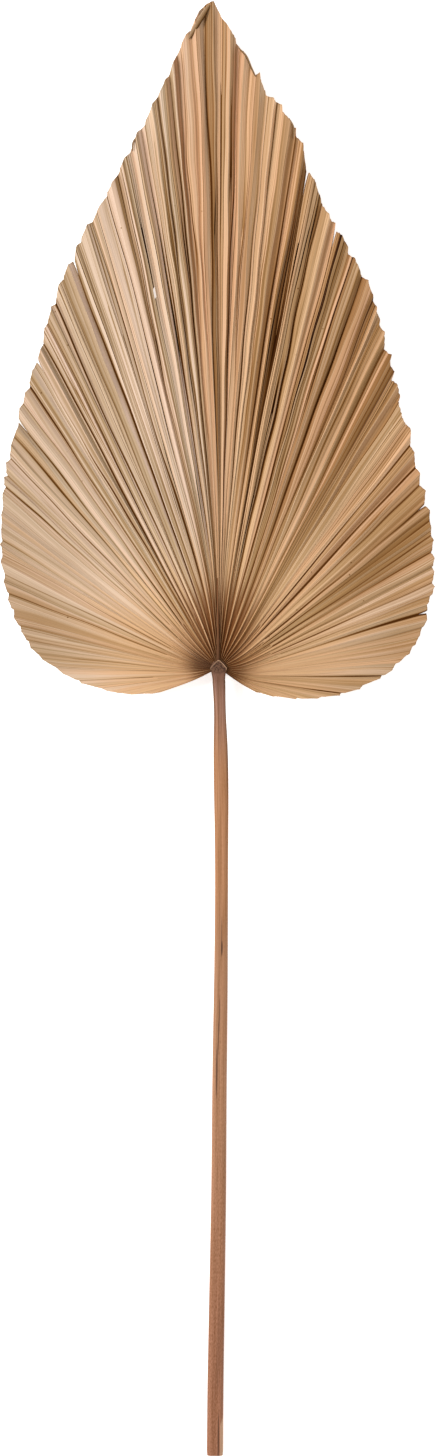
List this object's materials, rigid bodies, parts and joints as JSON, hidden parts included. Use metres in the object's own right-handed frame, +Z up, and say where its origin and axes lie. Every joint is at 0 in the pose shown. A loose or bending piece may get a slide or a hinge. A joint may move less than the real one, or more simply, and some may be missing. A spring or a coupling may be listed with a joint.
{
  "type": "dried fan palm leaf",
  "caption": "Dried fan palm leaf with a finely pleated blade cut to a spear shape, on its long slender stalk, lying upper side up.",
  "frame": {"origin": "on the surface that the leaf lies on, under the middle of its bounding box", "axes": "+Y from the cut end of the stalk to the tip of the blade, +X to the right of the blade seen from above with the tip away, +Z up from the surface"},
  "size_m": [0.3592, 1.2004, 0.0277],
  "materials": {
    "dry_leaf": "matte",
    "dry_stalk": "satin"
  },
  "bodies": {
    "root": {"leaf_blade": "dry_leaf", "leaf_stalk": "dry_stalk"}
  },
  "joints": []
}
